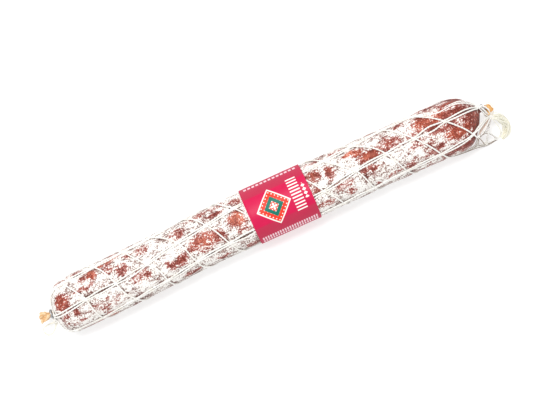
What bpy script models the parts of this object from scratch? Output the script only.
"""Dry-cured sausage in a cotton net, with a paper band round its middle.

The sausage lies along X and rests on the plane z = 0. Its casing bulges like
small pillows between the strands of the net and is a little flattened below.
Each end is gathered into a neck with an aluminium clip and a stub of casing.

The casing and the net share one set of coordinates: s runs along the sausage
and over its ends, and w counts the six lengthwise rows of knots round it.
"""

import math

import bmesh
import bpy
from mathutils import Vector

MM = 0.001

# Casing
GROOVE_RADIUS = 26.4 * MM
PILLOW_HEIGHT = 1.3 * MM
NECK_RADIUS = 2.4 * MM
AXIS_HEIGHT = 26.3 * MM
GROOVE_LIFT = 2.0 * MM
LUMP = 0.3 * MM

# The axis lies a little to one side on the left, and to the other on the right
DRIFT_RIGHT = 1.7 * MM
DRIFT_LEFT = -3.5 * MM
DRIFT_FROM = -30 * MM
DRIFT_LENGTH = 160 * MM

# Ends: where the shoulder starts, how far the dome reaches, how blunt it is,
# how its face leans, and how far its neck lies off the axis
SHOULDER = {-1: 206 * MM, 1: 202 * MM}
DOME_REACH = {-1: 29 * MM, 1: 32 * MM}
DOME_ARC = {-1: 44 * MM, 1: 43 * MM}
DOME_BLUNT = {-1: (5.5, 0.9), 1: (2.6, 1.05)}
DOME_LEAN = {-1: 0.1, 1: 0.0}
NECK_Y = {-1: -1.0 * MM, 1: 3.5 * MM}
NECK_Z = {-1: -1.5 * MM, 1: -0.5 * MM}
NECK_LENGTH = 6.0 * MM
STUB_LENGTH = {-1: 10 * MM, 1: 8 * MM}
STUB_RADIUS = {-1: 5.0 * MM, 1: 4.0 * MM}
STUB_BEND = {-1: math.radians(4), 1: math.radians(-62)}
DOME_RINGS = (18, 35, 51, 65, 78)
DOME_STEP = {-1: 5.2 * MM, 1: 9.0 * MM}

# Net: six rows of knots that wind slowly round the sausage
ROWS = 6
PITCH = 34 * MM
FIRST_KNOT = -195.5 * MM
FIRST_ANGLE = 4.9
TWIST = -7.1
LAG = 8 * MM
SLANT = 4.3 * MM
NET_REACH = 224 * MM
GROOVED_REACH = 236 * MM
GROOVE_HALF_ALONG = 1.5 * MM
GROOVE_HALF_ROUND = 2.7 * MM
STRAND_WIDTH = 1.3 * MM
STRAND_INNER = 0.70 * MM
STRAND_OUTER = 1.74 * MM
STRAND_LIFT_INNER = 1.35 * MM
STRAND_LIFT_OUTER = 0.35 * MM
DOME_CLEARANCE = 0.3 * MM
PAIR_GAP = 0.9 * MM
KNOT_ALONG = 1.3 * MM
KNOT_ROUND = 1.9 * MM
COLLAR_RADIUS = 5.0 * MM

# Paper band
BAND_CENTRE = 14.4 * MM
BAND_WIDTH = 65 * MM
BAND_INNER = 28.6 * MM
BAND_THICKNESS = 0.4 * MM
BAND_SIDES = 48
BAND_LIFT = 0.9 * MM

# Clips
CLIP_WIRE = 1.2 * MM
CLIP_AT = 4.2 * MM
CLIP_GAP = 0.35 * MM
CLIP_SIDES = 12
WIRE_SIDES = 6


def material(name, colour, roughness, metallic=0.0):
    made = bpy.data.materials.new(name)
    made.use_nodes = True
    shader = made.node_tree.nodes["Principled BSDF"]
    shader.inputs["Base Color"].default_value = (*colour, 1.0)
    shader.inputs["Roughness"].default_value = roughness
    shader.inputs["Metallic"].default_value = metallic
    return made


def smooth(x):
    """0 below 0, 1 above 1, with an even slope between."""
    x = min(max(x, 0.0), 1.0)
    return x * x * (3 - 2 * x)


def under_band(s):
    """1 where the paper band lies, fading to 0 just beside it."""
    off = abs(s - BAND_CENTRE) - BAND_WIDTH / 2
    return 1 - smooth((off - 3 * MM) / (8 * MM))


def winding(s):
    """Degrees round the sausage of knot row 0, counted from the top."""
    return FIRST_ANGLE + TWIST * (s - FIRST_KNOT) / PITCH


def wander(s, w):
    """The unevenness of the net, as shifts of s and of the angle.

    Its strands round the sausage lag behind on both flanks, and they slant a
    little one way on the left and the other way on the right.
    """
    turn = math.tau * w / ROWS
    aside = math.sin(math.radians(winding(s) + 360 / ROWS * w))
    along = SLANT * s / (150 * MM) * aside - LAG * aside**2 + 1.2 * MM * math.sin(s / (19 * MM) + 2 * turn)
    angle = 2.0 * math.sin(s / (31 * MM) + turn) + 1.2 * math.sin(s / (13 * MM) + 3 * turn)
    return along * (1 - smooth((abs(s) - 196 * MM) / (36 * MM))), angle


def drift(s):
    """How far to the side the axis lies at s."""
    return DRIFT_RIGHT + (DRIFT_LEFT - DRIFT_RIGHT) * smooth((DRIFT_FROM - s) / DRIFT_LENGTH)


def tip_of(side):
    """Where the dome ends and the neck begins, before the axis is lifted."""
    x = side * (SHOULDER[side] + DOME_REACH[side])
    return Vector((x, NECK_Y[side] + drift(x), NECK_Z[side]))


def profile(s):
    """Radius, centre, direction along and sideways, at s."""
    side = 1 if s > 0 else -1
    a = abs(s)
    shoulder, arc = SHOULDER[side], DOME_ARC[side]
    tip = tip_of(side)
    along, across = Vector((side, 0, 0)), Vector((0, -1, 0))
    if a <= shoulder:
        return GROOVE_RADIUS, Vector((s, drift(s), 0)), along, across
    if a <= shoulder + arc:
        over = (a - shoulder) / arc
        reach = math.sin(over * math.pi / 2)
        power, fullness = DOME_BLUNT[side]
        radius = NECK_RADIUS + (GROOVE_RADIUS - NECK_RADIUS) * max(1 - reach**power, 0.0) ** fullness
        x = side * (shoulder + DOME_REACH[side] * reach)
        centre = Vector((x, drift(x) + NECK_Y[side] * smooth(over), NECK_Z[side] * smooth(over)))
        return radius, centre, along, across
    return stub(side, a - shoulder - arc, tip)


def stub(side, beyond, tip):
    """The neck, and the gathered casing that fans out past the clip."""
    past = beyond - NECK_LENGTH
    turn = STUB_BEND[side] * smooth(past / (6.5 * MM))
    along = Vector((side * math.cos(turn), math.sin(turn), 0))
    across = Vector((side * math.sin(turn), -math.cos(turn), 0))
    centre = tip + Vector((side, 0, 0)) * min(beyond, NECK_LENGTH)
    if past <= 0:
        return NECK_RADIUS, centre, along, across
    centre += Vector((side * math.cos(turn * 0.85), math.sin(turn * 0.85), 0)) * past
    flare = smooth(past / (0.55 * STUB_LENGTH[side])) - 0.25 * smooth(past / STUB_LENGTH[side] - 0.4)
    return NECK_RADIUS + (STUB_RADIUS[side] - NECK_RADIUS) * flare, centre, along, across


def outward(s):
    """How the surface's normal splits along the sausage and away from its axis."""
    step = 0.05 * MM
    side = 1 if s > 0 else -1
    if abs(s) > SHOULDER[side] + DOME_ARC[side] - step:
        return 0.0, 1.0
    r0, c0 = profile(s - side * step)[:2]
    r1, c1 = profile(s + side * step)[:2]
    rise, run = r0 - r1, abs(c1.x - c0.x)
    size = math.hypot(rise, run)
    return rise / size, run / size


def lumps(s, angle):
    """Slow unevenness of the sausage's radius."""
    wave = math.sin(s / (37 * MM) + 1.0) + 0.7 * math.sin(s / (61 * MM) + math.radians(angle) * 2)
    return LUMP * wave * (1 - under_band(s)) * (1 - smooth((abs(s) - 190 * MM) / (30 * MM)))


def surface(s, w, height, lift):
    """The point at (s, w), this far above the grooves and no lower than lift."""
    along_shift, angle_shift = wander(s, w)
    s = s + along_shift
    angle = winding(s) + 360 / ROWS * w + angle_shift
    radius, centre, along, across = profile(s)
    out_along, out_radial = outward(s)
    reach = radius + lumps(s, angle) + height * out_radial
    turned = math.radians(angle)
    point = centre + along * (height * out_along)
    point += across * (reach * math.sin(turned)) + Vector((0, 0, reach * math.cos(turned)))
    side = 1 if s > 0 else -1
    over = (abs(s) - SHOULDER[side]) / DOME_ARC[side]
    point.x += DOME_LEAN[side] * (point.y - centre.y) * smooth(over)
    floor = lift + BAND_LIFT * under_band(s)
    return Vector((point.x, point.y, max(point.z + AXIS_HEIGHT, floor)))


def end_of(side):
    """s at the very end of the stub."""
    return side * (SHOULDER[side] + DOME_ARC[side] + NECK_LENGTH + STUB_LENGTH[side])


def cut(bm, place, normal, reach=None):
    """Cuts the flat sheet along a line, only within reach of its middle if given."""
    faces = [f for f in bm.faces if reach is None or abs(f.calc_center_median().x) < reach]
    edges = {e for f in faces for e in f.edges}
    verts = {v for f in faces for v in f.verts}
    bmesh.ops.bisect_plane(
        bm, geom=[*verts, *edges, *faces], dist=1e-8, plane_co=(*place, 0), plane_no=(*normal, 0)
    )


def casing_sheet():
    """The casing unrolled flat: x is s in metres and y is w in hundredths."""
    bm = bmesh.new()
    left, right = end_of(-1), end_of(1)
    corners = [(left, 0), (right, 0), (right, 0.01 * ROWS), (left, 0.01 * ROWS)]
    bm.faces.new([bm.verts.new((x, y, 0)) for x, y in corners])
    for side in (-1, 1):
        for degrees in (0, *DOME_RINGS, 90):
            at = SHOULDER[side] + DOME_ARC[side] * degrees / 90
            cut(bm, (side * at, 0), (1, 0))
        for past in (0.0, 0.22, 0.48, 0.8):
            at = SHOULDER[side] + DOME_ARC[side] + NECK_LENGTH + STUB_LENGTH[side] * past
            cut(bm, (side * at, 0), (1, 0))
    half_round = GROOVE_HALF_ROUND / (GROOVE_RADIUS * math.tau / ROWS)
    for row in range(ROWS):
        for part in (1 / 3, 2 / 3):
            cut(bm, (0, 0.01 * (row + part)), (0, 1))
        for part in (-half_round, half_round):
            cut(bm, (0, 0.01 * ((row + part) % ROWS)), (0, 1), reach=GROOVED_REACH)
    half_along = GROOVE_HALF_ALONG / PITCH
    slant = (0.01, -PITCH / 2)
    for turn in range(-4, 14):
        for part in (-half_along, half_along, 0.5):
            cut(bm, (FIRST_KNOT + PITCH * (turn + part), 0), slant, reach=NET_REACH)
    return bm


def pillow(s, w):
    """1 on a pillow and 0 in the grooves where the net's strands lie."""
    off_round = abs(w - round(w)) * GROOVE_RADIUS * math.tau / ROWS
    turn = (s - FIRST_KNOT) / PITCH - w / 2
    off_along = abs(turn - round(turn)) * PITCH
    slack = 0.01 * MM
    if off_round < GROOVE_HALF_ROUND + slack:
        return 0.0
    if off_along < GROOVE_HALF_ALONG + slack and abs(s) < NET_REACH:
        return 0.0
    side = 1 if s > 0 else -1
    return 1 - smooth((abs(s) - SHOULDER[side]) / (0.8 * DOME_ARC[side]))


def wrapped(bm, name, place, paint):
    """Rolls a flat sheet up with place(x, y) and closes its two ends."""
    for vert in bm.verts:
        vert.co = place(vert.co.x, vert.co.y)
    bmesh.ops.remove_doubles(bm, verts=bm.verts[:], dist=1e-6)
    bmesh.ops.holes_fill(bm, edges=[e for e in bm.edges if e.is_boundary], sides=0)
    bmesh.ops.recalc_face_normals(bm, faces=bm.faces[:])
    return finished(bm, name, paint)


def finished(bm, name, paint, crease=38):
    mesh = bpy.data.meshes.new(name)
    bm.to_mesh(mesh)
    bm.free()
    mesh.shade_smooth()
    mesh.set_sharp_from_angle(angle=math.radians(crease))
    mesh.materials.append(paint)
    made = bpy.data.objects.new(name, mesh)
    bpy.context.scene.collection.objects.link(made)
    return made


def make_sausage():
    def place(x, y):
        w = 100 * y
        raised = pillow(x, w)
        return surface(x, w, PILLOW_HEIGHT * raised, GROOVE_LIFT * (1 - raised))

    paint = material("cured_casing", (0.42, 0.17, 0.13), 0.62)
    return wrapped(casing_sheet(), "sausage", place, paint)


class Lattice:
    """A flat pattern of strands in (s, w), thickened into one closed solid."""

    def __init__(self):
        self.points = []
        self.index = {}
        self.faces = []

    def add(self, s, w, name=None):
        """A point of the pattern; a named one is shared by all that meet there."""
        if name in self.index:
            return self.index[name]
        self.points.append((s, w))
        if name is not None:
            self.index[name] = len(self.points) - 1
        return len(self.points) - 1

    def ribbon(self, first, second):
        """A strand between two rows of points."""
        for k in range(len(first) - 1):
            self.faces.append((first[k], first[k + 1], second[k + 1], second[k]))

    def solid(self, name, paint):
        bm = bmesh.new()
        outer, inner = [], []
        for s, w in self.points:
            clear = DOME_CLEARANCE * smooth((abs(s) - 200 * MM) / (12 * MM))
            outer.append(bm.verts.new(surface(s, w, STRAND_OUTER + clear, STRAND_LIFT_OUTER)))
            inner.append(bm.verts.new(surface(s, w, STRAND_INNER + clear, STRAND_LIFT_INNER)))
        border = {}
        for face in self.faces:
            bm.faces.new([outer[k] for k in face])
            bm.faces.new([inner[k] for k in reversed(face)])
            for a, b in zip(face, face[1:] + face[:1]):
                border[frozenset((a, b))] = None if frozenset((a, b)) in border else (a, b)
        for a, b in filter(None, border.values()):
            bm.faces.new((outer[b], outer[a], inner[a], inner[b]))
        bmesh.ops.recalc_face_normals(bm, faces=bm.faces[:])
        return finished(bm, name, paint, crease=30)


def round_to_rows(s, millimetres):
    """A distance round the sausage at s, in rows."""
    return millimetres / (max(profile(s)[0], NECK_RADIUS) * math.tau / ROWS)


def steps_between(s0, s1):
    """Few steps on the straight part, and short ones over the curved ends."""
    side = 1 if s0 + s1 > 0 else -1
    on_dome = max(abs(s0), abs(s1)) > SHOULDER[side] - 4 * MM
    return max(2, math.ceil(abs(s1 - s0) / DOME_STEP[side])) if on_dome else 2


def knot_place(turn, row):
    return FIRST_KNOT + PITCH * (turn + row / 2), row


def knot_corner(net, turn, row, corner):
    """A corner of knot (turn, row); row 6 is row 0 three turns further on."""
    turn, row = turn + 3 * (row // ROWS), row % ROWS
    s, w = knot_place(turn, row)
    along = {"a": 1, "b": 1, "right": 1.7, "c": -1, "d": -1, "left": -1.7}[corner]
    across = {"a": -1, "b": 1, "right": 0, "c": 1, "d": -1, "left": 0}[corner]
    s_here = s + along * KNOT_ALONG
    return net.add(s_here, w + across * round_to_rows(s, KNOT_ROUND), (turn, row, corner))


def hoop(net, turn, row):
    """One strand round the sausage, from a knot to the next row's."""
    start = knot_place(turn, row)
    stop = knot_place(turn, row + 1)
    steps = 3
    near, far = [knot_corner(net, turn, row, "c")], [knot_corner(net, turn, row, "b")]
    for k in range(1, steps):
        part = k / steps
        s = start[0] + (stop[0] - start[0]) * part
        w = start[1] + part
        near.append(net.add(s - 0.6 * STRAND_WIDTH, w))
        far.append(net.add(s + 0.6 * STRAND_WIDTH, w))
    near.append(knot_corner(net, turn, row + 1, "d"))
    far.append(knot_corner(net, turn, row + 1, "a"))
    net.ribbon(near, far)


def pair(net, row, s0, s1, begin, end):
    """Two strands side by side along the sausage, apart in the middle."""
    steps = steps_between(s0, s1)
    for side, outer0, outer1 in ((-1, begin[0], end[0]), (1, begin[2], end[2])):
        out, mid = [outer0], [begin[1]]
        for k in range(1, steps):
            part = k / steps
            s = s0 + (s1 - s0) * part
            gap = PAIR_GAP * math.sin(math.pi * part)
            out.append(net.add(s, row + side * round_to_rows(s, gap + STRAND_WIDTH)))
            mid.append(net.add(s, row + side * round_to_rows(s, gap)))
        out.append(outer1)
        mid.append(end[1])
        net.ribbon(out, mid)


def collar_s(side):
    """s where the dome has narrowed to the net's closing collar."""
    low, high = SHOULDER[side], SHOULDER[side] + DOME_ARC[side]
    for _ in range(40):
        middle = (low + high) / 2
        if profile(side * middle)[0] > COLLAR_RADIUS:
            low = middle
        else:
            high = middle
    return side * low


def collar(net, side):
    """The ring of thread that closes the net round the neck."""
    at = collar_s(side)
    wide = 0.9 * MM
    near, far = [], []
    for row in range(ROWS):
        for part, tag in ((-0.17, "d"), (0, "m"), (0.17, "c"), (0.5, "x")):
            near.append(net.add(at - side * wide, row + part, ("collar", side, row, tag)))
            far.append(net.add(at + side * wide, row + part))
    net.ribbon([*near, near[0]], [*far, far[0]])
    return at - side * wide


def end_strands(net, side, last):
    """The last pair of each row lies together, from its end knot to the collar."""
    at = collar(net, side)
    knot_side = ("a", "right", "b") if side > 0 else ("d", "left", "c")
    for row in range(ROWS):
        begin = [knot_corner(net, last[row], row, tag) for tag in knot_side]
        end = [net.index["collar", side, row, tag] for tag in ("d", "m", "c")]
        s0 = knot_place(last[row], row)[0] + side * KNOT_ALONG
        steps = steps_between(s0, at)
        rails = []
        for edge in (-1, 1):
            places = [s0 + (at - s0) * k / steps for k in range(1, steps)]
            rails.append([net.add(s, row + edge * round_to_rows(s, 0.8 * STRAND_WIDTH)) for s in places])
        net.ribbon(*rails)
        net.faces.append((*begin, rails[1][0], rails[0][0]))
        net.faces.append((*end, rails[1][-1], rails[0][-1]))


def make_net():
    net = Lattice()
    knots = {
        (turn, row)
        for row in range(ROWS)
        for turn in range(-4, 14)
        if abs(knot_place(turn, row)[0]) < NET_REACH
    }
    for turn, row in sorted(knots):
        corners = [knot_corner(net, turn, row, tag) for tag in ("a", "right", "b", "c", "left", "d")]
        net.faces.append(tuple(corners))
        if (turn + 3 * ((row + 1) // ROWS), (row + 1) % ROWS) in knots:
            hoop(net, turn, row)
        if (turn + 1, row) in knots:
            begin = [knot_corner(net, turn, row, tag) for tag in ("a", "right", "b")]
            end = [knot_corner(net, turn + 1, row, tag) for tag in ("d", "left", "c")]
            s0 = knot_place(turn, row)[0] + KNOT_ALONG
            pair(net, row, s0, s0 + PITCH - 2 * KNOT_ALONG, begin, end)
    for side in (-1, 1):
        ends = [side * max(side * turn for turn, row in knots if row == here) for here in range(ROWS)]
        end_strands(net, side, ends)
    return net.solid("net", material("cotton_net", (0.82, 0.78, 0.70), 0.85))


def make_band():
    """A closed paper ring over the net, flat where it meets the table."""
    bm = bmesh.new()
    rings = []
    for x in (BAND_CENTRE - BAND_WIDTH / 2, BAND_CENTRE + BAND_WIDTH / 2):
        for thick in (0.0, BAND_THICKNESS):
            reach, lift = BAND_INNER + thick, BAND_THICKNESS - thick
            ring = []
            for k in range(BAND_SIDES):
                turn = math.tau * k / BAND_SIDES
                z = max(AXIS_HEIGHT + reach * math.cos(turn), lift)
                ring.append(bm.verts.new((x, DRIFT_RIGHT + reach * math.sin(turn), z)))
            rings.append(ring)
    order = (0, 1, 3, 2)
    for first, second in zip(order, order[1:] + order[:1]):
        for k in range(BAND_SIDES):
            n = (k + 1) % BAND_SIDES
            bm.faces.new((rings[first][k], rings[first][n], rings[second][n], rings[second][k]))
    bmesh.ops.recalc_face_normals(bm, faces=bm.faces[:])
    return finished(bm, "paper_band", material("printed_paper", (0.66, 0.03, 0.09), 0.38))


def tube(name, paint, places, sizes, sides=8, closed=False):
    """A solid swept along places, with (across, upright) half sizes at each."""
    bm = bmesh.new()
    rings = []
    count = len(places)
    for k, (place, (across, upright)) in enumerate(zip(places, sizes)):
        before = places[(k - 1) % count] if closed or k else place
        after = places[(k + 1) % count] if closed or k < count - 1 else place
        along = (after - before).normalized()
        aside = along.cross(Vector((0.05, 0.1, 1))).normalized()
        over = aside.cross(along)
        ring = []
        for n in range(sides):
            turn = math.tau * (n + 0.5) / sides
            point = place + aside * (across * math.cos(turn)) + over * (upright * math.sin(turn))
            ring.append(bm.verts.new((point.x, point.y, max(point.z, 0))))
        rings.append(ring)
    for first, second in zip(rings, rings[1:] + (rings[:1] if closed else [])):
        for n in range(sides):
            m = (n + 1) % sides
            bm.faces.new((first[n], first[m], second[m], second[n]))
    if not closed:
        bm.faces.new(rings[0])
        bm.faces.new(rings[-1])
    bmesh.ops.recalc_face_normals(bm, faces=bm.faces[:])
    return finished(bm, name, paint, crease=50)


def make_clip(side, name, paint):
    """A wire clip, bent round the neck and pressed a little flat."""
    base = tip_of(side) + Vector((side * CLIP_AT, 0, AXIS_HEIGHT))
    reach = NECK_RADIUS + CLIP_GAP + CLIP_WIRE
    places = []
    for k in range(CLIP_SIDES):
        turn = math.tau * k / CLIP_SIDES
        bulge = 1 + 0.12 * abs(math.sin(2 * turn))
        aside, above = 1.04 * reach * bulge * math.sin(turn), reach * bulge * math.cos(turn)
        places.append(base + Vector((0, aside, above)))
    bm = bmesh.new()
    rings = []
    for place in places:
        out = (place - base).normalized()
        ring = []
        for n in range(WIRE_SIDES):
            turn = math.tau * (n + 0.5) / WIRE_SIDES
            away = out * math.cos(turn) + Vector((math.sin(turn), 0, 0))
            ring.append(bm.verts.new(place + away * CLIP_WIRE))
        rings.append(ring)
    for first, second in zip(rings, rings[1:] + rings[:1]):
        for n in range(WIRE_SIDES):
            m = (n + 1) % WIRE_SIDES
            bm.faces.new((first[n], first[m], second[m], second[n]))
    bmesh.ops.recalc_face_normals(bm, faces=bm.faces[:])
    return finished(bm, name, paint)


def blended(route, count):
    """Points on a smooth curve through the route's own, with sizes blended too."""
    made = []
    spans = len(route) - 1
    for k in range(count):
        at = k / (count - 1) * spans
        n = min(int(at), spans - 1)
        f = at - n
        p = [Vector(route[min(max(n + d, 0), spans)]) for d in (-1, 0, 1, 2)]
        a = (p[2] - p[0]) / 2
        b = (p[3] - p[1]) / 2
        value = p[1] * (2 * f**3 - 3 * f**2 + 1) + a * (f**3 - 2 * f**2 + f)
        made.append(value + p[2] * (3 * f**2 - 2 * f**3) + b * (f**3 - f**2))
    return made


def make_tails():
    """The netting left over past each tie: a folded hank, and a small loop."""
    thread = material("cotton_tail", (0.84, 0.80, 0.70), 0.85)
    hank = [
        (238.9, -0.8, 22.0), (240.7, -3.6, 22.4), (243.8, -6.3, 22.2), (249.6, -9.2, 19.4),
        (255.0, -14.2, 13.9), (257.6, -20.4, 8.6), (256.2, -26.6, 4.6), (250.2, -30.6, 1.5),
    ]
    hank_size = [0.9, 1.3, 2.2, 3.4, 4.5, 4.4, 3.6, 1.8]
    loop = [
        (-239.8, -11.0, 21.0), (-240.6, -13.4, 18.6), (-244.5, -13.6, 15.5), (-250.5, -13.2, 12.0),
        (-256.5, -14.6, 9.4), (-258.6, -18.6, 7.6), (-256.0, -22.6, 7.0), (-250.6, -22.6, 8.4),
        (-245.6, -19.4, 11.6),
    ]
    loop_size = [1.0, 2.0, 1.3, 0.9, 0.9, 0.9, 0.9, 0.9, 0.9]
    for name, route, size, count, flat in (
        ("net_tail", hank, hank_size, 17, 0.72), ("net_loop", loop, loop_size, 20, 1.0),
    ):
        places = [Vector(p) * MM for p in blended(route, count)]
        widths = [v.x * MM for v in blended([(w, 0, 0) for w in size], count)]
        tube(name, thread, places, [(w, w * flat) for w in widths], sides=6)


def stand_on_origin(objects):
    """Moves all together so that the origin is below the middle of the whole."""
    corners = [v.co for made in objects for v in made.data.vertices]
    middle = Vector((0, 0, 0))
    for axis in (0, 1):
        values = [c[axis] for c in corners]
        middle[axis] = (min(values) + max(values)) / 2
    middle.z = min(c.z for c in corners)
    for made in objects:
        for vert in made.data.vertices:
            vert.co -= middle
        made.data.update()


def main():
    for old in list(bpy.data.objects):
        bpy.data.objects.remove(old)
    metal = material("clip_aluminium", (0.42, 0.42, 0.43), 0.4, 1.0)
    make_sausage()
    make_net()
    make_band()
    make_clip(-1, "clip_left", metal)
    make_clip(1, "clip_right", metal)
    make_tails()
    stand_on_origin(list(bpy.context.scene.collection.objects))


main()
